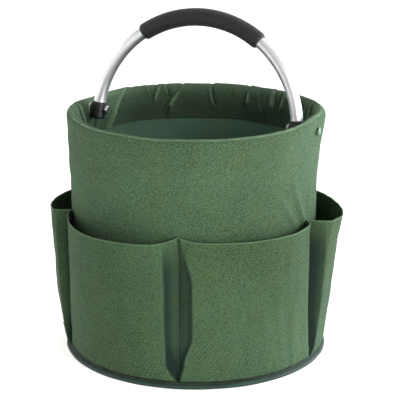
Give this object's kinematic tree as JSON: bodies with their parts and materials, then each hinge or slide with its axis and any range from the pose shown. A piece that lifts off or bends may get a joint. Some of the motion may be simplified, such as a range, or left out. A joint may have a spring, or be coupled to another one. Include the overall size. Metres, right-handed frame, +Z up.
{
  "type": "tool bucket organizer",
  "caption": "Round cloth tool bucket with a rolled rim, bound base, outside pockets and an arched tube handle with a foam grip that swings on two screws.",
  "frame": {"origin": "centre of the base's resting face, on the bag's axis", "axes": "+Z up the bag's axis, +X along the handle's pivot axis, -Y towards the seam between the two front pockets"},
  "size_m": [0.3285, 0.3298, 0.3881],
  "materials": {
    "wall_cloth": "woven Oxford cloth, matt",
    "pocket_cloth": "woven Oxford cloth, matt",
    "facing": "woven Oxford cloth, gathered",
    "lining": "coated cloth, slight sheen",
    "binding": "ribbed binding tape",
    "board": "stiff sheet",
    "hoop": "flat strip",
    "tube": "satin anodised",
    "foam": "closed-cell foam",
    "cap": "moulded, satin",
    "steel": "nickel plated"
  },
  "bodies": {
    "bag": {"base_cloth": "wall_cloth", "base_board": "board", "base_lining": "lining", "base_binding": "binding", "wall_cloth": "wall_cloth", "wall_lining": "lining", "rim_facing": "facing", "rim_hoop": "hoop", "hoop_clip": "steel", "pocket_front_left": "pocket_cloth", "pocket_front_right": "pocket_cloth", "pocket_right": "pocket_cloth", "pocket_back": "pocket_cloth", "pocket_left": "pocket_cloth", "pivot_screw_left": "steel", "pivot_screw_right": "steel", "pivot_washer_left": "steel", "pivot_washer_right": "steel", "barrel_nut_left": "steel", "barrel_nut_right": "steel"},
    "handle": {"handle_tube": "tube", "foam_grip": "foam", "end_cap_left": "cap", "end_cap_right": "cap"}
  },
  "joints": [
    {"name": "handle_pivot", "type": "hinge", "parent": "bag", "child": "handle", "pos_m": [0, 0, 0.266], "axis": [1, 0, 0], "range_deg": [-80, 100]}
  ]
}
